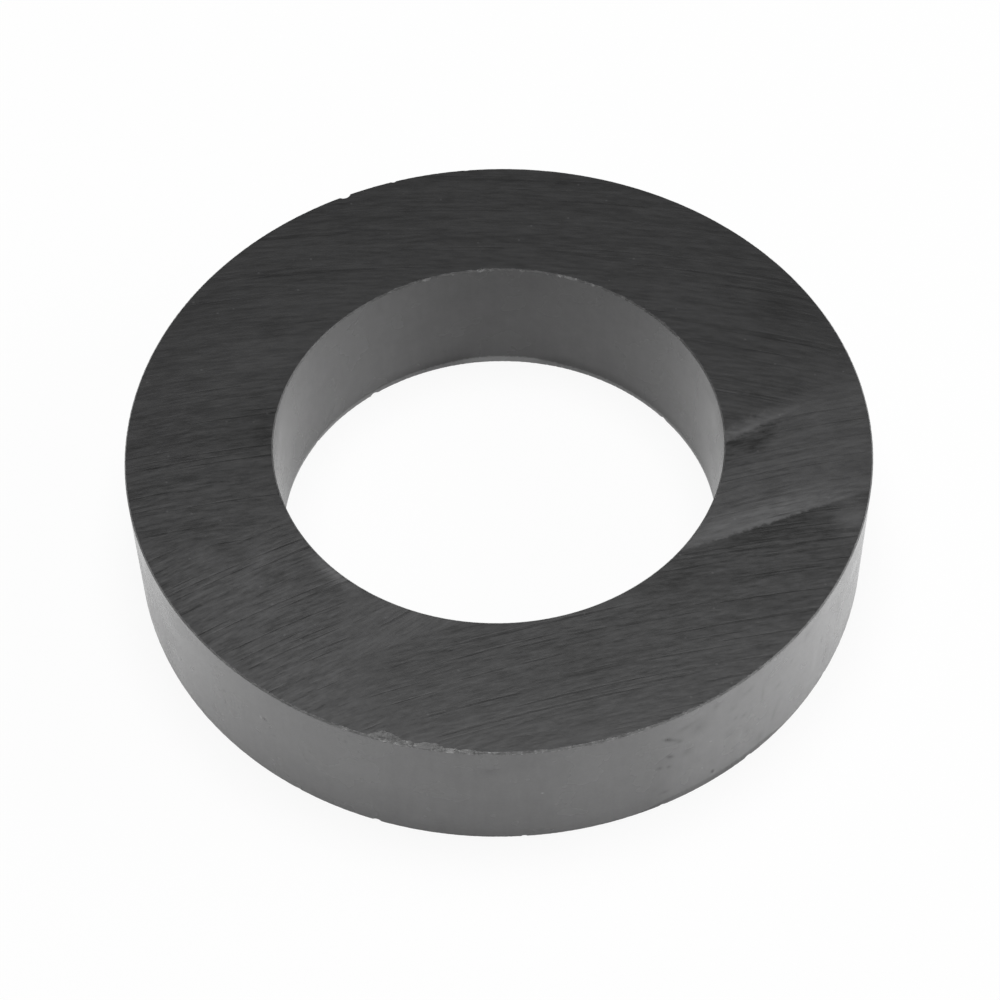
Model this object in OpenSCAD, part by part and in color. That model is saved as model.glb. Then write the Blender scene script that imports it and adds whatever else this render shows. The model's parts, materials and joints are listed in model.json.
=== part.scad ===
// Ring magnet of sintered hard ferrite, lying on one of its two ground pole faces.
// The origin is the centre of the lower face, with +Z along the ring's axis.
// Angles are in degrees, counted from +X towards +Y.

/* [Ring] */
// Diameter over the outer wall, which is left as it came from the kiln
outer_d = 100; // [76:1:180]
// Diameter of the bore, which is left as it came from the kiln
bore_d = 60.4; // [20:0.1:84]
// Distance between the two ground faces
thickness = 20; // [4:0.5:60]

/* [Edges] */
// Flat that the wheel leaves between the upper face and either wall
rim_break = 0.08; // [0.02:0.01:0.4]
// Flat between the lower face and the outer wall
foot_break = 0.2; // [0.05:0.05:0.6]
// Height of the worn band at the foot of the bore
bore_foot_height = 0.5; // [0.1:0.1:1.5]
// Depth of that band, measured across the lower face
bore_foot_reach = 0.15; // [0.05:0.05:0.6]

/* [Chips] */
// Size of every chip, as a share of the size listed for it
chip_scale = 1; // [0.5:0.05:1.5]
// Facets round the ring
ring_facets = 192; // [96:24:288]
// Facets round one chip
chip_facets = 32; // [24:8:48]

/* [Hidden] */

outer_r = outer_d / 2;
bore_r = bore_d / 2;
ferrite_grey = [0.26, 0.26, 0.27];

// Ceramic breaks away in shell-shaped flakes where a wall meets a ground face.
// Each flake is [angle, length along the edge, reach across the face, drop down the wall].
// The length is always more than twice the reach and twice the drop.
outer_rim_chips = [
    [-131.0, 0.9, 0.20, 0.12],
    [-127.4, 0.7, 0.15, 0.12],
    [-122.0, 0.8, 0.20, 0.14],
    [-119.6, 0.7, 0.20, 0.12],
    [-113.2, 1.0, 0.34, 0.18],
    [-111.0, 0.9, 0.30, 0.16],
    [-107.1, 5.4, 1.35, 0.16],
    [-100.9, 6.0, 0.95, 0.14],
    [-95.2, 4.2, 0.50, 0.12],
    [-91.9, 0.9, 0.25, 0.14],
    [-88.0, 0.8, 0.20, 0.12],
    [-84.9, 2.4, 0.38, 0.18],
    [-80.9, 0.8, 0.22, 0.12],
    [-77.3, 0.9, 0.25, 0.14],
    [-74.2, 0.9, 0.25, 0.14],
    [-69.1, 1.0, 0.30, 0.16],
    [-48.6, 0.7, 0.20, 0.14],
    [-22.4, 1.1, 0.25, 0.20],
    [94.4, 1.2, 0.30, 0.25],
    [106.7, 1.1, 0.35, 0.35],
    [115.3, 1.9, 0.60, 0.80],
    [153.0, 0.8, 0.25, 0.25],
    [162.8, 0.8, 0.20, 0.25],
];
// Smaller flakes off the lowered edge that the three long ones above leave
spall_drop = 0.13;
spall_chips = [
    [-107.3, 1.3, 0.40, 0.20],
    [-105.0, 1.6, 0.42, 0.20],
    [-99.9, 1.1, 0.36, 0.20],
    [-97.8, 1.6, 0.28, 0.14],
    [-94.8, 1.2, 0.34, 0.18],
];
bore_rim_chips = [
    [34.2, 0.8, 0.20, 0.25],
    [54.0, 0.9, 0.20, 0.25],
    [64.0, 1.6, 0.25, 0.35],
    [69.6, 1.8, 0.25, 0.35],
    [72.4, 0.9, 0.25, 0.30],
    [82.8, 1.0, 0.20, 0.30],
    [91.0, 0.8, 0.25, 0.30],
    [94.0, 0.9, 0.30, 0.35],
    [108.4, 1.4, 0.25, 0.35],
    [-139.6, 0.9, 0.25, 0.20],
];
outer_foot_chips = [
    [-145.2, 0.9, 0.30, 0.30],
    [-122.6, 0.9, 0.30, 0.35],
    [-109.5, 1.4, 0.50, 0.50],
    [-87.4, 1.0, 0.30, 0.40],
    [-66.2, 1.2, 0.40, 0.35],
    [-50.4, 1.4, 0.45, 0.50],
    [-31.0, 1.2, 0.50, 0.45],
];
bore_foot_chips = [
    [38.5, 1.2, 0.35, 0.55],
    [126.0, 1.4, 0.40, 0.60],
    [148.5, 1.1, 0.35, 0.50],
];

// Distance of a flake's centre beyond one side of the edge, for a sphere that leaves
// the edge half_length away from its middle and bites that side by bite
function beyond(half_length, bite) = (half_length * half_length - bite * bite) / (2 * bite);

// Radius of the sphere that leaves the edge half_length away from its middle
function flake_r(half_length, out, up) = sqrt(half_length * half_length + out * out + up * up);

// Half of the ring's section, with the breaks at its four corners
module section() {
    polygon([
        [bore_r + bore_foot_reach, 0],
        [outer_r - foot_break, 0],
        [outer_r, foot_break],
        [outer_r, thickness - rim_break],
        [outer_r - rim_break, thickness],
        [bore_r + rim_break, thickness],
        [bore_r, thickness - rim_break],
        [bore_r, bore_foot_height],
    ]);
}

// Flakes along the edge of radius edge_r at height edge_z.
// away is 1 at the outer wall and -1 in the bore, above is 1 at the upper face and -1 at the lower.
module flakes(chips, edge_r, edge_z, away, above) {
    for (chip = chips) {
        half_length = chip_scale * chip[1] / 2;
        out = beyond(half_length, chip_scale * chip[2]);
        up = beyond(half_length, chip_scale * chip[3]);
        rotate([0, 0, chip[0]])
            translate([edge_r + away * out, 0, edge_z + above * up])
                sphere(r = flake_r(half_length, out, up), $fn = chip_facets);
    }
}

module magnet_ring() {
    color(ferrite_grey)
        difference() {
            rotate_extrude($fn = ring_facets) section();
            flakes(outer_rim_chips, outer_r, thickness, 1, 1);
            flakes(spall_chips, outer_r, thickness - chip_scale * spall_drop, 1, 1);
            flakes(bore_rim_chips, bore_r, thickness, -1, 1);
            flakes(outer_foot_chips, outer_r, 0, 1, -1);
            flakes(bore_foot_chips, bore_r, 0, -1, -1);
        }
}

magnet_ring();
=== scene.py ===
"""A ring magnet of sintered hard ferrite, lying flat on a pale table under soft light."""

import json
import math

import bmesh
import bpy
from mathutils import Matrix, Vector


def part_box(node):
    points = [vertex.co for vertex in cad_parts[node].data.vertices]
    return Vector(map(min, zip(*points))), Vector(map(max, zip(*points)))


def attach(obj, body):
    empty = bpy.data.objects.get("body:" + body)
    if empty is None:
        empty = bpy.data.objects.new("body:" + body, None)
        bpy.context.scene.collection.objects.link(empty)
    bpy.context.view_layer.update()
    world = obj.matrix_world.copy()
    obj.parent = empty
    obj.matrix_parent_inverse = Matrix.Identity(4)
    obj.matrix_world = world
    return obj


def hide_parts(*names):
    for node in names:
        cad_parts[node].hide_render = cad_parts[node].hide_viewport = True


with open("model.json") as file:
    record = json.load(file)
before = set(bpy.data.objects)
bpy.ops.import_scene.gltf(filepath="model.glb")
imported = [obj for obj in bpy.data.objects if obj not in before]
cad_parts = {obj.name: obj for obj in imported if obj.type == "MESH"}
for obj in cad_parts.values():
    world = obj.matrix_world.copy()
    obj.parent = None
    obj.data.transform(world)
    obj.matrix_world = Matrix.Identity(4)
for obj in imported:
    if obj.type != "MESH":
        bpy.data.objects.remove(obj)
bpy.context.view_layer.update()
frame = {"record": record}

# ---------------------------------------------------------------------------
# View and table
# ---------------------------------------------------------------------------
# The ring lies on a white table and is seen from the front, from well above.
# The camera is tipped about one degree to the side.

MM = 0.001
VIEW_ELEVATION = 52.474
VIEW_ROLL = -1.176
VIEW_DISTANCE = 384.9 * MM
VIEW_TARGET = Vector((0.04, -2.88, 10.0)) * MM
VIEW_LENS = 101.8
SENSOR_WIDTH = 36.0
TABLE_SIZE = 6.0
TABLE_WHITE = (0.86, 0.86, 0.86, 1.0)
TABLE_GLOW_SEEN = 0.90
TABLE_GLOW_REFLECTED = 0.40


def new_material(name):
    """A material with an empty tree, and two functions that add a shader node or a sum to it.
    They take sockets or plain values, and give back the new node's outputs."""
    material = bpy.data.materials.new(name)
    material.use_nodes = True
    tree = material.node_tree
    tree.nodes.clear()

    def node(kind, inputs=None, **settings):
        made = tree.nodes.new("ShaderNode" + kind)
        for key, value in settings.items():
            setattr(made, key, value)
        for socket, value in (inputs or {}).items():
            if isinstance(value, bpy.types.NodeSocket):
                tree.links.new(value, made.inputs[socket])
            else:
                made.inputs[socket].default_value = value
        return made.outputs

    def maths(operation, *values):
        return node("Math", dict(enumerate(values)), operation=operation)[0]

    return material, node, maths


bpy.ops.object.select_all(action="DESELECT")
bpy.ops.object.camera_add()
camera = bpy.context.object
camera.data.lens = VIEW_LENS
camera.data.sensor_width = SENSOR_WIDTH
camera.data.clip_start = 10 * MM
camera.matrix_world = (
    Matrix.Translation(VIEW_TARGET)
    @ Matrix.Rotation(math.radians(90.0 - VIEW_ELEVATION), 4, "X")
    @ Matrix.Translation((0.0, 0.0, VIEW_DISTANCE))
    @ Matrix.Rotation(math.radians(VIEW_ROLL), 4, "Z")
)
bpy.context.scene.camera = camera

white_table, node, maths = new_material("white_table")
ray = node("LightPath")
mirrored = maths("MULTIPLY", ray["Is Glossy Ray"], TABLE_GLOW_REFLECTED)
paint = node("BsdfDiffuse", {"Color": TABLE_WHITE})[0]
glow = node("Emission", {"Strength": mirrored})[0]
lit = node("AddShader", {0: paint, 1: glow})[0]
white = node("Emission", {"Strength": 1.0})[0]
seen = maths("MULTIPLY", ray["Is Camera Ray"], TABLE_GLOW_SEEN)
surface = node("MixShader", {0: seen, 1: lit, 2: white})[0]
node("OutputMaterial", {"Surface": surface})

bpy.ops.mesh.primitive_plane_add(size=TABLE_SIZE)
table = bpy.context.object
table.name = "table"
table.data.materials.append(white_table)

# ---------------------------------------------------------------------------
# Studio light
# ---------------------------------------------------------------------------
# A dim room, one large round lamp straight over the ring, a smaller one behind it, and a soft
# box low on the right. Nothing shines from the camera's side.

ROOM_GREY = 0.10
LAMP_DISTANCE = 1.5

room = bpy.data.worlds.new("room")
bpy.context.scene.world = room
room.use_nodes = True
tree = room.node_tree
ray = tree.nodes.new("ShaderNodeLightPath").outputs["Is Camera Ray"]
dim = tree.nodes["Background"]
dim.inputs["Color"].default_value = (ROOM_GREY, ROOM_GREY, ROOM_GREY, 1.0)
white = tree.nodes.new("ShaderNodeBackground")
white.inputs["Color"].default_value = (1.0, 1.0, 1.0, 1.0)
backdrop = tree.nodes.new("ShaderNodeMixShader")
tree.links.new(ray, backdrop.inputs[0])
tree.links.new(dim.outputs[0], backdrop.inputs[1])
tree.links.new(white.outputs[0], backdrop.inputs[2])
tree.links.new(backdrop.outputs[0], tree.nodes["World Output"].inputs["Surface"])


def lamp(name, shape, azimuth, height, width, depth, watts):
    """A flat lamp that faces the ring."""
    bpy.ops.object.light_add(type="AREA")
    made = bpy.context.object
    made.name = name
    made.data.shape = shape
    made.data.size = width
    made.data.size_y = depth
    made.data.energy = watts
    made.visible_camera = False
    turn, rise = math.radians(azimuth), math.radians(height)
    away = Vector((math.cos(rise) * math.cos(turn), math.cos(rise) * math.sin(turn), math.sin(rise)))
    facing = away.to_track_quat("Z", "Y").to_matrix().to_4x4()
    made.matrix_world = Matrix.Translation(away * LAMP_DISTANCE) @ facing


lamp("overhead", "ELLIPSE", azimuth=90, height=89.9, width=1.1, depth=1.1, watts=16.7)
lamp("over_the_back", "ELLIPSE", azimuth=90, height=75, width=1.1, depth=0.8, watts=4.9)
lamp("right", "RECTANGLE", azimuth=5, height=24, width=1.0, depth=0.7, watts=6.9)

# ---------------------------------------------------------------------------
# Ring: the body
# ---------------------------------------------------------------------------
# One charge of ferrite powder, pressed in a die and sintered hard, so the ring has plain
# round walls. Both faces are then ground flat, which leaves a small break at each edge.

BORE = next(mount for mount in frame["record"]["mounts"] if mount["name"] == "bore")
BORE_R = BORE["dims"]["r_mm"] * MM
OUTER_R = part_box("magnet_ring")[1].x
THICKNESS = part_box("magnet_ring")[1].z
# the breaks at its edges: distance across the face and distance along the wall, in mm
RIM_BREAK = (0.08, 0.08)
OUTER_FOOT_BREAK = (0.20, 0.20)
BORE_FOOT_BREAK = (0.15, 0.50)
# points this close to each other are one
NEAR = 0.001 * MM


def edit(piece):
    """Edit mode on one piece, with nothing selected."""
    bpy.ops.object.select_all(action="DESELECT")
    piece.select_set(True)
    bpy.context.view_layer.objects.active = piece
    bpy.ops.object.mode_set(mode="EDIT")
    bpy.ops.mesh.select_mode(type="VERT")
    bpy.ops.mesh.select_all(action="DESELECT")


def select_points(piece, test):
    """Selects the points that pass a test, and nothing else."""
    mesh = bmesh.from_edit_mesh(piece.data)
    for point in mesh.verts:
        point.select_set(test(point.co))
    mesh.select_flush_mode()
    bmesh.update_edit_mesh(piece.data)


def apply_modifier(piece, name):
    bpy.ops.object.select_all(action="DESELECT")
    bpy.context.view_layer.objects.active = piece
    bpy.ops.object.modifier_apply(modifier=name)


def turned_edge(name, edge_r, edge_z, toward_r, toward_z, across, down, steps):
    """The part of the ring round one edge: a corner with rows of points, turned about the axis.
    across and down are the rows' distances from the edge, and the first of each bounds its break.
    toward_r and toward_z say on which side of the edge the ceramic lies."""
    corner = Vector((edge_r, 0, edge_z))
    reach = Vector((toward_r * across[-1], 0, toward_z * down[-1]))
    bpy.ops.mesh.primitive_plane_add(size=1.0, location=corner + reach / 2, rotation=(math.pi / 2, 0, 0))
    piece = bpy.context.object
    piece.name = name
    piece.scale = (across[-1], down[-1], 1)
    bpy.ops.object.transform_apply()
    edit(piece)
    select_points(piece, lambda co: (co - corner - reach).length < NEAR)
    bpy.ops.mesh.delete(type="VERT")
    for row in across[:-1]:
        bpy.ops.mesh.select_all(action="SELECT")
        bpy.ops.mesh.bisect(plane_co=corner + Vector((toward_r * row, 0, 0)), plane_no=(1, 0, 0))
    for row in down[:-1]:
        bpy.ops.mesh.select_all(action="SELECT")
        bpy.ops.mesh.bisect(plane_co=corner + Vector((0, 0, toward_z * row)), plane_no=(0, 0, 1))
    select_points(piece, lambda co: (co - corner).length < NEAR)
    bpy.ops.mesh.dissolve_verts()
    bpy.ops.object.mode_set(mode="OBJECT")
    turn = piece.modifiers.new("turn", "SCREW")
    turn.steps = turn.render_steps = steps
    turn.use_merge_vertices = True
    turn.merge_threshold = NEAR
    apply_modifier(piece, "turn")
    return piece


def bridge(piece, test):
    """Closes the gap between the two open loops of edges whose points pass a test."""
    edit(piece)
    bpy.ops.mesh.select_mode(type="EDGE")
    mesh = bmesh.from_edit_mesh(piece.data)
    for edge in mesh.edges:
        edge.select_set(edge.is_boundary and all(test(point.co) for point in edge.verts))
    bmesh.update_edit_mesh(piece.data)
    bpy.ops.mesh.bridge_edge_loops()
    bpy.ops.object.mode_set(mode="OBJECT")


# rows of points beside each edge, close enough together for the nicks that come later
RIM_ROWS = [distance * MM for distance in (RIM_BREAK[0], 0.18, 0.30, 0.46, 0.70, 1.10)]
FOOT_ROWS = [distance * MM for distance in (OUTER_FOOT_BREAK[0], 0.42, 0.80)]
BORE_FOOT_ACROSS = [distance * MM for distance in (BORE_FOOT_BREAK[0], 0.45)]
BORE_FOOT_UP = [distance * MM for distance in (BORE_FOOT_BREAK[1], 0.75, 1.20)]

edges = [
    turned_edge("ferrite_ring", OUTER_R, THICKNESS, -1, -1, RIM_ROWS, RIM_ROWS, steps=3200),
    turned_edge("bore_rim", BORE_R, THICKNESS, 1, -1, RIM_ROWS, RIM_ROWS, steps=2000),
    turned_edge("outer_foot", OUTER_R, 0, -1, 1, FOOT_ROWS, FOOT_ROWS, steps=1600),
    turned_edge("bore_foot", BORE_R, 0, 1, 1, BORE_FOOT_ACROSS, BORE_FOOT_UP, steps=1400),
]
bpy.ops.object.select_all(action="DESELECT")
for edge in edges:
    edge.select_set(True)
ring = edges[0]
bpy.context.view_layer.objects.active = ring
bpy.ops.object.join()
bridge(ring, lambda co: abs(co.z - THICKNESS) < NEAR)
bridge(ring, lambda co: abs(co.z) < NEAR)
bridge(ring, lambda co: abs(co.xy.length - OUTER_R) < NEAR)
bridge(ring, lambda co: abs(co.xy.length - BORE_R) < NEAR)
edit(ring)
bpy.ops.mesh.select_all(action="SELECT")
bpy.ops.mesh.normals_make_consistent(inside=False)
bpy.ops.object.mode_set(mode="OBJECT")

# ---------------------------------------------------------------------------
# Ring: the chipped edges
# ---------------------------------------------------------------------------
# Ferrite breaks like glass. Knocks and the grinding wheel have taken shell-shaped flakes
# from the edges: three of about five millimetres in front, many of one or two, and fine nicks
# all the way round.

# each flake: angle in degrees, then length along the edge, reach across the face and drop
# down the wall in mm
OUTER_RIM_FLAKES = [
    (-131.0, 0.9, 0.20, 0.12), (-127.4, 0.7, 0.15, 0.12), (-122.0, 0.8, 0.20, 0.14),
    (-119.6, 0.7, 0.20, 0.12), (-113.2, 1.0, 0.34, 0.18), (-111.0, 0.9, 0.30, 0.16),
    (-107.1, 5.4, 1.35, 0.16), (-100.9, 6.0, 0.95, 0.14), (-95.2, 4.2, 0.50, 0.12),
    (-91.9, 0.9, 0.25, 0.14), (-88.0, 0.8, 0.20, 0.12), (-84.9, 2.4, 0.38, 0.18),
    (-80.9, 0.8, 0.22, 0.12), (-77.3, 0.9, 0.25, 0.14), (-74.2, 0.9, 0.25, 0.14),
    (-69.1, 1.0, 0.30, 0.16), (-48.6, 0.7, 0.20, 0.14), (-22.4, 1.1, 0.25, 0.20),
    (94.4, 1.2, 0.30, 0.25), (106.7, 1.1, 0.35, 0.35), (115.3, 1.9, 0.60, 0.80),
    (153.0, 0.8, 0.25, 0.25), (162.8, 0.8, 0.20, 0.25),
]
# smaller flakes off the lowered edge that the three long ones leave
SPALL_DROP = 0.13
SPALL_FLAKES = [
    (-107.3, 1.3, 0.40, 0.20), (-105.0, 1.6, 0.42, 0.20), (-99.9, 1.1, 0.36, 0.20),
    (-97.8, 1.6, 0.28, 0.14), (-94.8, 1.2, 0.34, 0.18),
]
# thin flakes that join the long ones
BETWEEN_SPALLS = [
    (-111.3, 3.2, 0.30, 0.10), (-104.1, 3.4, 0.75, 0.13), (-97.7, 3.2, 0.60, 0.12),
    (-91.8, 3.4, 0.28, 0.09),
]
BORE_RIM_FLAKES = [
    (34.2, 0.8, 0.20, 0.25), (54.0, 0.9, 0.20, 0.25), (64.0, 1.6, 0.25, 0.35),
    (69.6, 1.8, 0.25, 0.35), (72.4, 0.9, 0.25, 0.30), (82.8, 1.0, 0.20, 0.30),
    (91.0, 0.8, 0.25, 0.30), (94.0, 0.9, 0.30, 0.35), (108.4, 1.4, 0.25, 0.35),
    (-139.6, 0.9, 0.25, 0.20),
]
OUTER_FOOT_FLAKES = [
    (-145.2, 0.9, 0.30, 0.30), (-122.6, 0.9, 0.30, 0.35), (-109.5, 1.4, 0.50, 0.50),
    (-87.4, 1.0, 0.30, 0.40), (-66.2, 1.2, 0.40, 0.35), (-50.4, 1.4, 0.45, 0.50),
    (-31.0, 1.2, 0.50, 0.45),
]
BORE_FOOT_FLAKES = [(38.5, 1.2, 0.35, 0.55), (126.0, 1.4, 0.40, 0.60), (148.5, 1.1, 0.35, 0.50)]
# the balls that cut them: width of a facet, and size and height of the grain on their skins
BALL_FACET = 0.26 * MM
LEAST_HALVINGS = 4
CRUMB_SIZE = 0.45 * MM
CRUMB_RELIEF = 0.09 * MM


def flake_cutters(flakes, edge_r, edge_z, away, above):
    """A ball for each flake. It leaves the edge half the flake's length to each side of its middle.
    away is 1 at the outer wall and -1 in the bore, above is 1 at the upper face and -1 at the lower."""
    cutters = []
    for angle, length, reach, drop in flakes:
        half = length / 2 * MM
        out = (half**2 - (reach * MM) ** 2) / (2 * reach * MM)
        up = (half**2 - (drop * MM) ** 2) / (2 * drop * MM)
        turn = math.radians(angle)
        centre_r = edge_r + away * out
        centre = (centre_r * math.cos(turn), centre_r * math.sin(turn), edge_z + above * up)
        radius = math.sqrt(half**2 + out**2 + up**2)
        halvings = max(LEAST_HALVINGS, 1 + math.ceil(math.log2(radius / BALL_FACET)))
        bpy.ops.mesh.primitive_ico_sphere_add(subdivisions=halvings, radius=radius, location=centre)
        bpy.ops.object.transform_apply()
        cutters.append(bpy.context.object)
    return cutters


crumble = bpy.data.textures.new("crumble", "CLOUDS")
crumble.noise_scale = CRUMB_SIZE
crumble.noise_depth = 2


def break_off(cutters):
    """Takes a set of balls with roughened skins out of the ring. No two of them may meet."""
    bpy.ops.object.select_all(action="DESELECT")
    for cutter in cutters:
        cutter.select_set(True)
    bpy.context.view_layer.objects.active = cutters[0]
    bpy.ops.object.join()
    roughen = cutters[0].modifiers.new("roughen", "DISPLACE")
    roughen.texture = crumble
    roughen.texture_coords = "LOCAL"
    roughen.strength = CRUMB_RELIEF
    apply_modifier(cutters[0], "roughen")
    cut = ring.modifiers.new("cut", "BOOLEAN")
    cut.operation = "DIFFERENCE"
    cut.solver = "MANIFOLD"
    cut.object = cutters[0]
    apply_modifier(ring, "cut")
    bpy.data.objects.remove(cutters[0])


break_off(
    flake_cutters(OUTER_RIM_FLAKES[0::2], OUTER_R, THICKNESS, 1, 1)
    + flake_cutters(BORE_RIM_FLAKES, BORE_R, THICKNESS, -1, 1)
    + flake_cutters(OUTER_FOOT_FLAKES, OUTER_R, 0, 1, -1)
    + flake_cutters(BORE_FOOT_FLAKES, BORE_R, 0, -1, -1)
)
break_off(flake_cutters(OUTER_RIM_FLAKES[1::2], OUTER_R, THICKNESS, 1, 1))
break_off(flake_cutters(BETWEEN_SPALLS, OUTER_R, THICKNESS, 1, 1))
break_off(flake_cutters(SPALL_FLAKES, OUTER_R, THICKNESS - SPALL_DROP * MM, 1, 1))

# fine nicks, which bite most right at an edge
NICK_SIZE = 0.42 * MM
NICK_DEPTH = 0.13 * MM
NICK_REACH = 0.28 * MM
# how worn an edge is: stretches from one angle to another with their strengths, and the rest of it
OUTER_RIM_WEAR = ([(-180, -118, 0.4), (-118, -90, 0.8), (-90, -62, 1.0), (-62, -18, 0.7)], 0.5)
BORE_RIM_WEAR = ([(25, 118, 0.45)], 0.25)
FOOT_WEAR = ([], 0.5)


def place_on_ring(spot):
    """Whether a spot is on the outer side and in the upper half, and how far in it lies from the
    wall and from the face there."""
    radius = spot.xy.length
    outside, top = radius > (OUTER_R + BORE_R) / 2, spot.z > THICKNESS / 2
    from_wall = OUTER_R - radius if outside else radius - BORE_R
    from_face = THICKNESS - spot.z if top else spot.z
    return outside, top, from_wall, from_face


nicks = ring.vertex_groups.new(name="nicks")
for point in ring.data.vertices:
    outside, top, from_wall, from_face = place_on_ring(point.co)
    stretches, elsewhere = (OUTER_RIM_WEAR if outside else BORE_RIM_WEAR) if top else FOOT_WEAR
    angle = math.degrees(math.atan2(point.co.y, point.co.x))
    strength = next((wear for start, end, wear in stretches if start <= angle < end), elsewhere)
    weight = strength * (1.0 - math.hypot(from_wall, from_face) / NICK_REACH)
    if weight > 0:
        nicks.add([point.index], weight, "REPLACE")
grit = bpy.data.textures.new("grit", "CLOUDS")
grit.noise_scale = NICK_SIZE
grit.noise_depth = 2
grit.intensity = 0.9
grit.contrast = 3.0
grit.use_clamp = True
nick = ring.modifiers.new("nick", "DISPLACE")
nick.texture = grit
nick.texture_coords = "LOCAL"
nick.vertex_group = "nicks"
nick.mid_level = 0.0
nick.strength = -NICK_DEPTH
apply_modifier(ring, "nick")

# ---------------------------------------------------------------------------
# Ring: the ground faces
# ---------------------------------------------------------------------------
# Both faces are ground flat by a wheel that crosses the ring in several passes. Each pass
# leaves long shallow arcs about its own middle, and where two meet one cuts the other off.

FACE_GREY = 0.020
GROOVE_DEPTH = 0.006 * MM
TO_MM = (1 / MM,) * 3
# where each pass was centred, in mm
BACK_PASS = (-10.0, -164.0)
LEFT_PASS = (43.0, -166.0)
FRONT_PASS = (82.0, -333.0)
RIGHT_PASS = (73.0, -157.0)
# where one pass stops at another, in mm
RIGHT_BACK_SEAM = ((30.2, -0.9), (40.9, 4.8))
RIGHT_FRONT_SEAM = ((25.3, -18.9), (42.3, -12.6))
LEFT_SEAM = ((-50.0, -19.0), (-30.0, -13.0))
# the back, left, front and right pass: how light each is, partly painted sheen, and how strongly streaked
PASS_SHADES = (0.98, 1.35, 0.88, 1.75)
PASS_STREAKS = (1.0, 1.0, 1.05, 0.55)
# how much each kind of mark changes the grey
SHORT_MARKS = 2.1
LONG_MARKS = 0.60
MOTTLING = 0.75
THIN_LINES = -0.55
SPECKS = 1.1
SEAM_STRIPS = 1.5
BACK_SEAM_SHADE = -1.5
FRONT_SEAM_SHADE = -0.75
# how far the ragged seams wander, in mm
SEAM_WANDER = 22.0
SEAM_FRAY = 2.6

ground_face, node, maths = new_material("ground_face")
spot = node("VectorMath", {0: node("TexCoord")["Object"], 1: TO_MM}, operation="MULTIPLY")[0]
spot_parts = node("SeparateXYZ", {0: spot})
spot_x, spot_y, spot_z = spot_parts[0], spot_parts[1], spot_parts[2]


def ease(value, low, high, at_low=0.0, at_high=1.0):
    """A smooth step between two values."""
    return node(
        "MapRange",
        {0: value, 1: low, 2: high, 3: at_low, 4: at_high},
        interpolation_type="SMOOTHSTEP",
    )[0]


def blend(share, first, second):
    """The first value where share is 0, the second where it is 1."""
    return node("Mix", {0: share, 2: first, 3: second})[0]


def product(first, *others):
    """Several values multiplied."""
    for other in others:
        first = maths("MULTIPLY", first, other)
    return first


def vary(middle, noise, gain):
    """A value that a noise of about 0.5 on average moves up and down."""
    return maths("MULTIPLY_ADD", maths("SUBTRACT", noise, 0.5), gain, middle)


def beside(seam):
    """How far along a seam a spot is, from 0 to 1, and how far it lies behind it in mm."""
    (start_x, start_y), (end_x, end_y) = seam
    length = math.hypot(end_x - start_x, end_y - start_y)
    along_x, along_y = (end_x - start_x) / length, (end_y - start_y) / length
    away = node("VectorMath", {0: spot, 1: (start_x, start_y, 0.0)}, operation="SUBTRACT")[0]
    along = node(
        "VectorMath", {0: away, 1: (along_x / length, along_y / length, 0.0)}, operation="DOT_PRODUCT"
    )["Value"]
    behind = node("VectorMath", {0: away, 1: (-along_y, along_x, 0.0)}, operation="DOT_PRODUCT")["Value"]
    return along, behind


def grinding(centre, seed):
    """The marks of one pass: short ones, long broad ones and thin lines, each about 0.5 on average."""
    away_x = maths("SUBTRACT", spot_x, centre[0])
    away_y = maths("SUBTRACT", spot_y, centre[1])
    reach = math.hypot(*centre)
    away = maths("SQRT", maths("ADD", maths("MULTIPLY", away_x, away_x), maths("MULTIPLY", away_y, away_y)))
    arc = maths("MULTIPLY", maths("ARCTAN2", away_x, away_y), reach)
    lane = node("CombineXYZ", {0: away, 1: arc, 2: maths("ADD", spot_z, seed)})[0]
    short = node("VectorMath", {0: lane, 1: (1 / 0.55, 1 / 3.4, 1.0)}, operation="MULTIPLY")[0]
    long = node("VectorMath", {0: lane, 1: (1 / 1.8, 1 / 22.0, 1.0)}, operation="MULTIPLY")[0]
    fine = node("VectorMath", {0: lane, 1: (1 / 0.45, 1 / 28.0, 1.3)}, operation="MULTIPLY")[0]
    short = node("TexNoise", {"Vector": short, "Scale": 1.0, "Detail": 2.0, "Roughness": 0.6})[0]
    long = node("TexNoise", {"Vector": long, "Scale": 1.0, "Detail": 1.5, "Roughness": 0.55})[0]
    fine = node("TexNoise", {"Vector": fine, "Scale": 1.0, "Detail": 0.0})[0]
    return short, long, fine


def patch(centre, size, turn):
    """A soft-edged oval, 1 in its middle and 0 outside."""
    local = node(
        "Mapping",
        {"Vector": spot, "Location": (*centre, 0.0), "Rotation": (0.0, 0.0, math.radians(turn)),
         "Scale": (*size, 1e6)},
        vector_type="TEXTURE",
    )[0]
    return node("TexGradient", {0: local}, gradient_type="QUADRATIC_SPHERE")[1]


back_short, back_long, back_line = grinding(BACK_PASS, 0.0)
left_short, left_long, left_line = grinding(LEFT_PASS, 17.0)
front_short, front_long, front_line = grinding(FRONT_PASS, 31.0)
right_short, right_long, right_line = grinding(RIGHT_PASS, 53.0)

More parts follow.
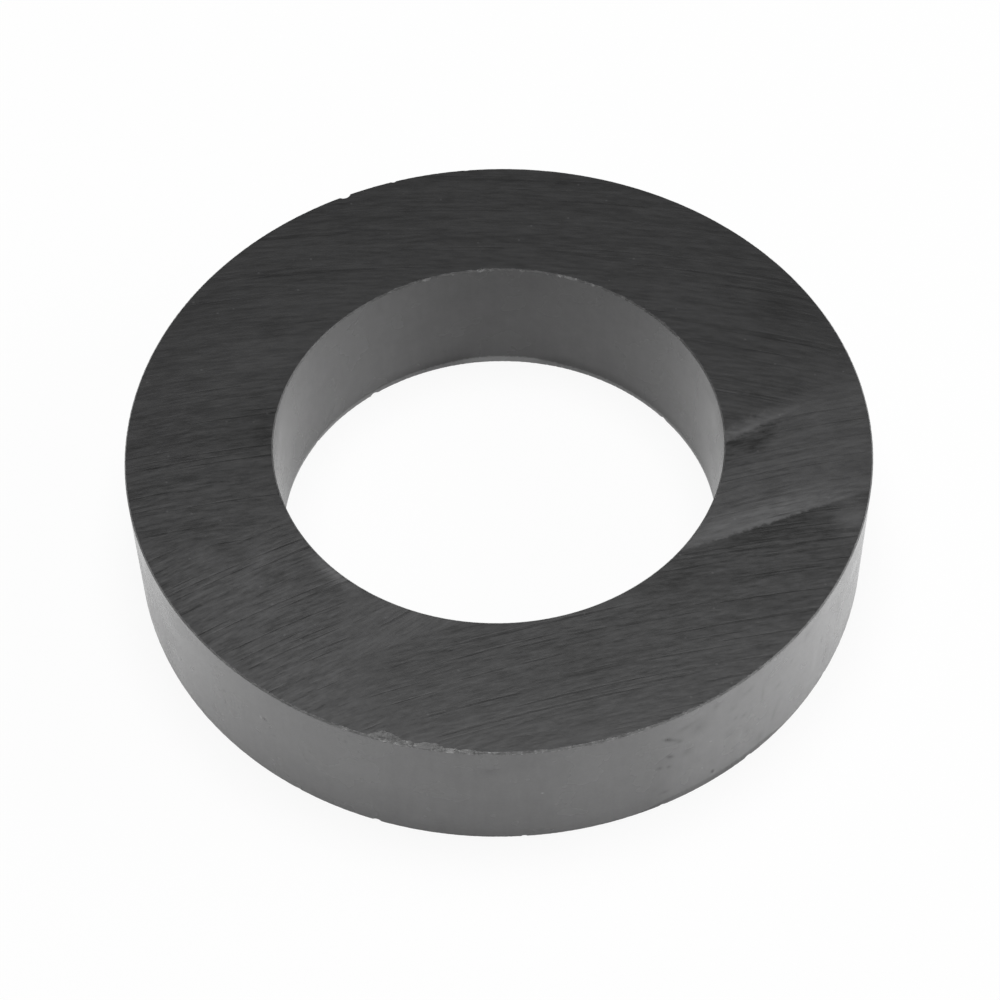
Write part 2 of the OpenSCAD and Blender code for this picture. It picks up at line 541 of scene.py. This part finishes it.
# which pass is seen where; the seams on the left and in front are vague
wander = node("TexNoise", {"Vector": spot, "Scale": 0.12, "Detail": 2.0})[0]
wander = vary(0.0, wander, SEAM_WANDER)
along_back_seam, behind_back_seam = beside(RIGHT_BACK_SEAM)
along_front_seam, behind_front_seam = beside(RIGHT_FRONT_SEAM)
behind_left_seam = beside(LEFT_SEAM)[1]
is_right = maths("GREATER_THAN", spot_x, 0.0)
back_share = blend(
    is_right,
    ease(maths("ADD", behind_left_seam, wander), -6.0, 6.0),
    ease(maths("DIVIDE", behind_back_seam, ease(along_back_seam, 0.7, 1.5, 1.0, 7.0)), -0.5, 0.7),
)
left_share = ease(maths("ADD", spot_x, wander), -10.0, -22.0)
front_share = ease(behind_front_seam, 0.25, -0.25)


def seen_pass(back, left, front, right):
    return blend(back_share, blend(left_share, blend(front_share, right, front), left), back)


short = seen_pass(back_short, left_short, front_short, right_short)
long = seen_pass(back_long, left_long, front_long, right_long)
crowd = node("TexNoise", {"Vector": spot, "Scale": 0.22, "Detail": 1.0})[0]
mottle = node("TexNoise", {"Vector": spot, "Scale": 1.4, "Detail": 2.0, "Roughness": 0.6})[0]
line = ease(seen_pass(back_line, left_line, front_line, right_line), 0.37, 0.28)
line = maths("MULTIPLY", line, ease(crowd, 0.30, 0.44))

# grey of each pass, then the streaks, then the lighter and darker patches; the passes and patches are real
# grinding marks whose sheen is partly painted into the grey
tone = seen_pass(*PASS_SHADES)
streak = vary(0.0, short, SHORT_MARKS)
streak = vary(streak, long, LONG_MARKS)
streak = vary(streak, mottle, MOTTLING)
streak = maths("MULTIPLY_ADD", line, THIN_LINES, streak)
depth = streak
streak = product(streak, ease(spot_y, 22.0, -22.0, 0.5, 1.25), seen_pass(*PASS_STREAKS))
tone = maths("MULTIPLY", tone, maths("ADD", streak, 1.0))
PATCHES = [
    # middle and half sizes in mm, turn in degrees, how much lighter or darker
    ((-33.0, 15.0), (14.0, 8.0), 10.0, 0.45),
    ((-34.0, -25.0), (15.0, 14.0), 25.0, 0.35),
    ((10.0, -37.0), (16.0, 9.0), 14.0, -0.45),
    ((23.0, -24.0), (9.0, 6.0), 20.0, -0.60),
    ((39.0, 22.0), (13.0, 9.0), -20.0, -0.45),
    ((44.0, -11.0), (7.0, 9.0), 12.0, 0.35),
    ((32.0, -37.0), (12.0, 6.0), 16.0, 0.35),
    ((-40.0, 0.0), (14.0, 6.0), 8.0, -0.25),
    ((46.6, -14.4), (5.0, 7.0), -15.0, 1.7),
    ((40.5, -6.5), (10.0, 4.0), 10.0, 0.35),
    ((-21.6, -22.0), (6.5, 1.9), -45.0, 3.2),
    ((-31.5, 2.0), (5.5, 9.0), 0.0, -0.80),
]
for centre, size, turn, change in PATCHES:
    tone = maths("MULTIPLY_ADD", patch(centre, size, turn), change, tone)

# the light strips along the two sharp seams, and the dark ground at their lower sides
fray = vary(0.0, mottle, SEAM_FRAY)
frayed = maths("ADD", behind_back_seam, fray)
strip = product(
    ease(behind_back_seam, -0.9, -0.2),
    ease(frayed, 2.0, 0.5),
    ease(along_back_seam, -0.3, 0.0),
    ease(along_back_seam, 1.25, 0.3),
    maths("ADD", short, 0.5),
)
tone = maths("MULTIPLY_ADD", strip, SEAM_STRIPS, tone)
shade = product(
    ease(frayed, -5.4, -2.4),
    ease(frayed, -0.3, -1.2),
    is_right,
    ease(maths("MULTIPLY_ADD", fray, 0.12, along_back_seam), 0.80, 0.25),
    ease(short, 0.70, 0.30, 0.5, 1.1),
)
tone = maths("MULTIPLY_ADD", shade, BACK_SEAM_SHADE, tone)
frayed = maths("MULTIPLY_ADD", fray, 0.5, behind_front_seam)
strip = product(
    ease(frayed, -0.2, 0.3),
    ease(frayed, 4.6, 1.6),
    ease(along_front_seam, -0.25, 0.25),
    ease(along_front_seam, 1.3, 0.8),
    maths("ADD", short, 0.5),
)
tone = maths("MULTIPLY_ADD", strip, SEAM_STRIPS, tone)
shade = product(
    ease(behind_front_seam, -4.0, -0.5),
    ease(frayed, 0.2, -0.2),
    ease(along_front_seam, 0.1, 0.5),
    ease(along_front_seam, 1.15, 0.80),
)
tone = maths("MULTIPLY_ADD", shade, FRONT_SEAM_SHADE, tone)

# specks where grains have come out
grains = node("TexVoronoi", {"Vector": spot, "Scale": 0.55}, feature="F1")
speck = ease(grains["Distance"], 0.13, 0.05)
is_out = maths("GREATER_THAN", node("SeparateColor", {0: grains["Color"]})[0], 0.72)
speck = maths("MULTIPLY", speck, is_out)
tone = maths("MULTIPLY_ADD", speck, SPECKS, tone)

grey = maths("MULTIPLY", maths("MAXIMUM", tone, 0.05), FACE_GREY)
colour = node("CombineColor", {0: grey, 1: grey, 2: maths("MULTIPLY", grey, 1.02)})[0]
dull = ease(maths("ADD", long, short), 0.7, 1.3, 0.31, 0.37)
groove = node("Bump", {"Strength": 1.0, "Distance": GROOVE_DEPTH, "Height": depth})[0]
skin = node("BsdfPrincipled", {"Base Color": colour, "Roughness": dull, "IOR": 1.5, "Normal": groove})[0]
node("OutputMaterial", {"Surface": skin})

# ---------------------------------------------------------------------------
# Ring: the fired walls
# ---------------------------------------------------------------------------
# The walls are left as they came from the kiln: smooth, satin and lighter than the faces,
# with cloudy patches, a few stains and pits, and a darker bore.

WALL_GREY = 0.15
BORE_GREY = 0.085
RIPPLE_DEPTH = 0.004 * MM

fired_wall, node, maths = new_material("fired_wall")
spot = node("VectorMath", {0: node("TexCoord")["Object"], 1: TO_MM}, operation="MULTIPLY")[0]
spot_parts = node("SeparateXYZ", {0: spot})
spot_x, spot_y, spot_z = spot_parts[0], spot_parts[1], spot_parts[2]
turn = maths("MULTIPLY", maths("ARCTAN2", spot_y, spot_x), 180.0 / math.pi)
out = maths("SQRT", maths("ADD", maths("MULTIPLY", spot_x, spot_x), maths("MULTIPLY", spot_y, spot_y)))
in_bore = maths("LESS_THAN", out, (OUTER_R + BORE_R) / 2 / MM)
wall_spot = node("CombineXYZ", {0: turn, 1: spot_z, 2: in_bore})[0]


def stain(angle, height, half_angle, half_height, tilt=0.0):
    """A soft-edged oval at an angle and a height on the outer wall, or in the bore."""
    local = node(
        "Mapping",
        {"Vector": wall_spot, "Location": (angle, height, 0.0), "Rotation": (0.0, 0.0, math.radians(tilt)),
         "Scale": (half_angle, half_height, 0.5)},
        vector_type="TEXTURE",
    )[0]
    return node("TexGradient", {0: local}, gradient_type="QUADRATIC_SPHERE")[1]


def degrees_from(angle):
    """How far round the ring a spot lies from an angle."""
    return maths("ABSOLUTE", maths("SUBTRACT", turn, angle))


# runs down the wall, wide clouds, and the grain of the ceramic
upright = node("VectorMath", {0: spot, 1: (0.9, 0.9, 0.12)}, operation="MULTIPLY")[0]
runs = node("TexNoise", {"Vector": upright, "Scale": 1.0, "Detail": 3.0, "Roughness": 0.55})[0]
clouds = node("TexNoise", {"Vector": spot, "Scale": 0.16, "Detail": 3.0, "Roughness": 0.5})[0]
grain = node("TexNoise", {"Vector": spot, "Scale": 2.2, "Detail": 2.0, "Roughness": 0.6})[0]
blotch = node("TexNoise", {"Vector": spot, "Scale": 0.45, "Detail": 2.0})[0]
tone = vary(1.0, runs, 0.22)
tone = vary(tone, clouds, 0.45)
tone = vary(tone, grain, 0.18)
tone = vary(tone, blotch, ease(turn, -70.0, -55.0, 0.10, 0.36))
STAIN_SPREAD = 1.6
OUTER_STAINS = [
    # angle, height, half width in degrees, half height in mm, tilt, how much lighter or darker
    (-65.9, 15.6, 1.0, 0.50, -35.0, -1.05),
    (-64.9, 14.9, 1.4, 0.45, -35.0, -0.60),
    (-63.8, 14.0, 0.7, 0.60, -35.0, -0.60),
    (-65.3, 11.3, 0.9, 0.45, -35.0, -0.95),
    (-65.4, 9.0, 0.6, 0.50, -35.0, -0.70),
    (-66.9, 9.5, 0.7, 0.45, -35.0, -0.70),
    (-62.5, 10.7, 1.3, 1.30, 0.0, -0.35),
    (-62.8, 16.7, 2.6, 0.70, 10.0, -0.42),
    (-60.7, 15.2, 1.6, 1.80, 0.0, -0.42),
    (-66.5, 11.0, 6.0, 7.50, 0.0, -0.16),
    (-65.8, 3.2, 1.3, 0.50, 0.0, -0.35),
    (-67.5, 4.8, 1.6, 1.40, 0.0, -0.15),
    (-57.5, 2.5, 0.42, 0.50, 0.0, -1.60),
    (-57.2, 2.9, 1.1, 1.20, 0.0, 0.12),
    (-52.2, 11.5, 0.7, 0.65, 0.0, -0.60),
    (-51.3, 7.0, 0.6, 0.80, 0.0, -0.50),
    (-54.7, 9.3, 1.0, 1.30, 0.0, -0.60),
    (-54.7, 9.4, 0.4, 0.55, 0.0, 0.35),
    (-53.8, 12.2, 0.6, 0.60, 0.0, -0.38),
    (-57.8, 18.0, 0.7, 1.10, 0.0, -0.42),
    (-54.6, 15.0, 1.1, 0.80, 0.0, -0.36),
    (-51.5, 16.7, 1.2, 0.70, 15.0, -0.42),
    (-48.6, 13.0, 0.5, 2.60, 0.0, -0.38),
    (-45.2, 12.1, 0.9, 0.60, 0.0, -0.45),
    (-45.4, 5.4, 0.7, 2.40, -14.0, -0.48),
    (-48.2, 3.0, 1.2, 1.60, -10.0, -0.42),
    (-42.3, 15.0, 0.5, 0.45, 0.0, -0.45),
    (-44.6, 15.6, 0.5, 0.40, 0.0, -0.30),
    (-38.7, 17.4, 1.6, 1.60, 0.0, -0.40),
    (-35.3, 8.2, 1.0, 5.20, 4.0, 0.22),
    (-31.7, 11.6, 0.8, 1.30, 0.0, -0.30),
    (-33.6, 10.9, 0.8, 1.00, 0.0, -0.28),
    (-31.4, 6.2, 0.9, 4.20, 0.0, -0.45),
    (-32.0, 4.6, 0.5, 0.60, 0.0, -0.50),
    (-28.0, 12.0, 1.2, 4.00, 12.0, -0.24),
    (-161.0, 15.0, 5.0, 6.0, 0.0, 0.20),
    (-92.1, 16.0, 2.4, 1.30, 8.0, -0.28),
    (-84.7, 10.3, 0.25, 0.20, 0.0, 1.3),
    (-144.2, 9.5, 0.40, 0.40, 0.0, -0.75),
    (-137.9, 11.5, 0.40, 0.40, 0.0, 0.55),
    (-135.9, 12.5, 0.50, 0.40, 0.0, -0.50),
    (-136.1, 9.8, 0.40, 0.40, 0.0, -0.75),
    (-127.6, 13.0, 0.50, 0.45, 0.0, -1.10),
    (-128.3, 12.9, 0.30, 0.50, 0.0, 0.80),
    (-142.9, 1.0, 0.60, 0.70, 0.0, -0.45),
    (-126.1, 10.3, 0.70, 0.35, 0.0, -0.30),
    (-119.7, 11.1, 0.60, 0.35, 0.0, -0.30),
    (-120.5, 8.7, 0.50, 0.40, 0.0, -0.30),
    (-113.4, 17.1, 0.40, 0.50, 0.0, -0.45),
    (-147.7, 7.7, 0.50, 0.40, 0.0, -0.25),
    (-141.3, 18.4, 0.40, 0.50, 0.0, -0.40),
    (-153.4, 8.2, 0.70, 3.40, 6.0, -0.34),
    (-155.6, 12.0, 0.60, 2.80, 8.0, -0.24),
    (-156.4, 7.6, 1.00, 2.60, 6.0, 0.26),
    (-159.3, 13.5, 0.50, 2.60, 4.0, -0.22),
]
for angle, height, half_angle, half_height, tilt, change in OUTER_STAINS:
    mark = stain(angle, height, STAIN_SPREAD * half_angle, STAIN_SPREAD * half_height, tilt)
    mark = maths("MULTIPLY", mark, maths("SUBTRACT", 1.0, in_bore))
    tone = maths("MULTIPLY_ADD", mark, change, tone)

# painted light and shade on the outer wall: lighter in front on the right and near its foot, and darkest
# straight in front
painted_light_front_right = maths("MULTIPLY", ease(turn, -70.0, -60.0), ease(turn, -46.0, -22.0, 0.28, 0.04))
tone = maths("ADD", tone, painted_light_front_right)
tone = maths("MULTIPLY_ADD", ease(spot_z, 7.0, 1.5), 0.07, tone)
tone = maths("MULTIPLY_ADD", ease(degrees_from(-92.0), 18.0, 4.0), -0.09, tone)

# a painted contact shadow along its foot, highest in front on the right
foot_shadow_height = ease(degrees_from(-56.0), 8.0, 15.0, 1.8, 0.45)
painted_foot_shadow = product(
    ease(maths("DIVIDE", spot_z, foot_shadow_height), 1.0, 0.5),
    maths("SUBTRACT", 1.0, in_bore),
    ease(degrees_from(-48.0), 6.0, 12.0, 0.90, 0.55),
)
outer_grey = maths("MULTIPLY", maths("SUBTRACT", tone, painted_foot_shadow), WALL_GREY)

# the bore has a lighter strip at its foot, and above that a dark band of painted shade, the table's shadow
# reflected in the wall
ragged_z = vary(spot_z, grain, 0.5)
painted_shade_band = product(
    ease(ragged_z, 0.85, 1.15),
    ease(spot_z, 3.2, 1.2),
    ease(degrees_from(87.0), 5.0, 14.0),
)
bore_tone = maths("MULTIPLY_ADD", painted_shade_band, ease(turn, 116.0, 134.0, -0.48, -0.12), tone)
from_back = degrees_from(89.0)
light_foot_strip = ease(from_back, 16.0, 5.0, 1.3, 2.9)
light_strip_height = ease(from_back, 22.0, 6.0, 1.0, 1.4)
light_foot_strip = maths("MULTIPLY", light_foot_strip, ease(maths("DIVIDE", ragged_z, light_strip_height), 1.10, 0.75))
bore_tone = maths("ADD", light_foot_strip, bore_tone)
BORE_MARKS = [
    # angle, height, half width in degrees, half height in mm, how much lighter or darker
    (83.7, 18.4, 0.90, 0.50, 1.6),
    (80.0, 7.7, 1.60, 0.45, 1.8),
    (53.0, 10.7, 1.20, 0.70, 1.6),
    (150.0, 12.8, 1.2, 0.25, -0.7),
    (143.0, 12.0, 1.0, 0.25, -0.6),
    (151.0, 5.4, 1.1, 0.25, -0.7),
]
for angle, height, half_angle, half_height, change in BORE_MARKS:
    mark = maths("MULTIPLY", stain(angle, height, half_angle, half_height), in_bore)
    bore_tone = maths("MULTIPLY_ADD", mark, change, bore_tone)

# painted light and shade in the bore: lighter at the back on the left, and darker at the back and towards
# both sides
painted_light_low_left = maths("MULTIPLY", ease(degrees_from(130.0), 26.0, 8.0), ease(spot_z, 10.0, 5.0))
BORE_PAINTED_LIGHT_AND_SHADE = [
    (ease(degrees_from(126.0), 26.0, 4.0), 0.30),
    (painted_light_low_left, 0.22),
    (ease(turn, 150.0, 172.0), -0.56),
    (ease(turn, 34.0, 8.0), -0.58),
    (ease(degrees_from(87.0), 20.0, 4.0), -0.14),
]
for share, change in BORE_PAINTED_LIGHT_AND_SHADE:
    bore_tone = maths("MULTIPLY_ADD", share, change, bore_tone)
bore_grey = maths("MULTIPLY", bore_tone, BORE_GREY)
grey = maths("MAXIMUM", blend(in_bore, outer_grey, bore_grey), 0.01)
colour = node("CombineColor", {0: grey, 1: grey, 2: maths("MULTIPLY", grey, 1.01)})[0]
satin = ease(clouds, 0.3, 0.7, 0.22, 0.29)
ripple = node("Bump", {"Strength": 1.0, "Distance": RIPPLE_DEPTH, "Height": grain})[0]
skin = node("BsdfPrincipled", {"Base Color": colour, "Roughness": satin, "IOR": 1.45, "Normal": ripple})[0]
node("OutputMaterial", {"Surface": skin})

# ---------------------------------------------------------------------------
# Ring: the breaks
# ---------------------------------------------------------------------------
# Where the ceramic has chipped, its open grain shows. Small flakes are crumbled and light, the
# long shells that lie almost level are as dark as the face, and the worn edges lie between.

CRUMBLE_DEPTH = 0.03 * MM


def break_finish(name, upright_grey_with_painted_light, grey_level, contrast, bore_share=1.0, foot_share=1.0):
    """Rough broken ceramic, with its grey where it stands upright and where it lies level, which paints
    light and shade by the way each spot faces.
    bore_share and foot_share are how light it is in the bore, and at the bore's foot."""
    finish, node, maths = new_material(name)
    where = node("TexCoord")
    spot = node("VectorMath", {0: where["Object"], 1: TO_MM}, operation="MULTIPLY")[0]
    facing_for_painted_light = maths("ABSOLUTE", node("SeparateXYZ", {0: where["Normal"]})[2])
    # painted light and shade: the grey runs from the upright one to the level one as a spot turns to lie
    # flat
    base = node("MapRange", {0: facing_for_painted_light, 3: upright_grey_with_painted_light, 4: grey_level})[0]
    grain = node("TexNoise", {"Vector": spot, "Scale": 3.0, "Detail": 3.0, "Roughness": 0.65})[0]
    patches = node("TexNoise", {"Vector": spot, "Scale": 0.8, "Detail": 1.0})[0]
    tone = maths("MULTIPLY_ADD", maths("SUBTRACT", patches, 0.5), contrast, 1.0)
    tone = maths("MULTIPLY_ADD", maths("SUBTRACT", grain, 0.5), contrast, tone)
    flat_spot = node("VectorMath", {0: spot, 1: (1.0, 1.0, 0.0)}, operation="MULTIPLY")[0]
    out = node("VectorMath", {0: flat_spot}, operation="LENGTH")["Value"]
    height = node("SeparateXYZ", {0: spot})[2]
    in_bore_share = node("MapRange", {0: height, 1: 4.0, 2: 12.0, 3: foot_share, 4: bore_share})[0]
    share = node("MapRange", {0: out, 1: 38.0, 2: 42.0, 3: in_bore_share, 4: 1.0})[0]
    base = maths("MULTIPLY", base, share)
    grey = maths("MULTIPLY", maths("MAXIMUM", tone, 0.3), base)
    colour = node("CombineColor", {0: grey, 1: grey, 2: grey})[0]
    crumble = node("Bump", {"Strength": 1.0, "Distance": CRUMBLE_DEPTH, "Height": grain})[0]
    skin = node(
        "BsdfPrincipled", {"Base Color": colour, "Roughness": 0.42, "IOR": 1.5, "Normal": crumble}
    )[0]
    node("OutputMaterial", {"Surface": skin})
    return finish


crumbled_break = break_finish("crumbled_break", upright_grey_with_painted_light=0.24, grey_level=0.13, contrast=1.6)
shell_break = break_finish("shell_break", upright_grey_with_painted_light=0.08, grey_level=0.022, contrast=0.7)
worn_edge = break_finish(
    "worn_edge", upright_grey_with_painted_light=0.25, grey_level=0.095, contrast=1.1, bore_share=0.72, foot_share=1.2
)

ring.data.materials.clear()
for finish in (ground_face, fired_wall, crumbled_break, shell_break, worn_edge):
    ring.data.materials.append(finish)
# the places of the five finishes in that list
GROUND, FIRED, CRUMBLED, SHELL, WORN = range(5)
# a point this deep under the unchipped skin is still on it
FLUSH = 0.018 * MM
# a break this close to the unbroken edge is wear
WORN_WIDTH = 0.35 * MM
# flakes longer than this, in mm, are shells
LONGEST_CRUMBLED = 2.6
# what leans less than this from its neighbour, in degrees, looks smooth
SMOOTH_BELOW = 32


def under_skin(spot):
    """How far a point lies inside the unchipped ring, and how far from the nearer ground face."""
    outside, top, from_wall, from_face = place_on_ring(spot)
    across, down = RIM_BREAK if top else OUTER_FOOT_BREAK if outside else BORE_FOOT_BREAK
    from_break = (from_wall / (across * MM) + from_face / (down * MM) - 1) * min(across, down) * MM * 0.8
    return min(from_wall, from_face, from_break), from_face


def is_flake(spot):
    """Whether a spot near the upper or lower edge lies in one of the small listed flakes."""
    outside, top, from_wall, from_face = place_on_ring(spot)
    edge_r = OUTER_R if outside else BORE_R
    if top:
        flakes = OUTER_RIM_FLAKES + SPALL_FLAKES if outside else BORE_RIM_FLAKES
    else:
        flakes = OUTER_FOOT_FLAKES if outside else BORE_FOOT_FLAKES
    angle = math.degrees(math.atan2(spot.y, spot.x))
    for middle, length, reach, drop in flakes:
        along = math.radians(angle - middle) * edge_r / MM / (length / 2)
        across = from_wall / MM / (1.3 * reach)
        down = from_face / MM / (drop + 0.2)
        if length < LONGEST_CRUMBLED and math.hypot(along, across, down) < 1.1:
            return True
    return False


for face in ring.data.polygons:
    depths = [under_skin(ring.data.vertices[index].co) for index in face.vertices]
    outside, top, from_wall, from_face = place_on_ring(face.center)
    at_rim = math.hypot(from_wall, from_face) < WORN_WIDTH and 0.15 < face.normal.z < 0.995
    if all(depth < FLUSH for depth, from_face in depths):
        flat = all(from_face < FLUSH for depth, from_face in depths) and abs(face.normal.z) > 0.9
        face.material_index = GROUND if flat else WORN if at_rim else FIRED
    elif face.normal.z > 0.96:
        face.material_index = SHELL
    else:
        face.material_index = CRUMBLED if is_flake(face.center) else WORN

# the outline of each ground face stays crisp
bpy.ops.object.select_all(action="DESELECT")
ring.select_set(True)
bpy.context.view_layer.objects.active = ring
bpy.ops.object.shade_smooth_by_angle(angle=math.radians(SMOOTH_BELOW))
edit(ring)
bpy.ops.mesh.select_mode(type="EDGE")
mesh = bmesh.from_edit_mesh(ring.data)
for edge in mesh.edges:
    level = [abs(face.normal.z) > 0.99999 for face in edge.link_faces]
    edge.select_set(any(level) and not all(level))
bmesh.update_edit_mesh(ring.data)
bpy.ops.mesh.mark_sharp()
bpy.ops.object.mode_set(mode="OBJECT")
even = ring.modifiers.new("even", "WEIGHTED_NORMAL")
even.keep_sharp = True
even.weight = 100
apply_modifier(ring, "even")

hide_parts("magnet_ring")
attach(ring, "root")

bpy.context.scene.view_settings.view_transform = "Standard"
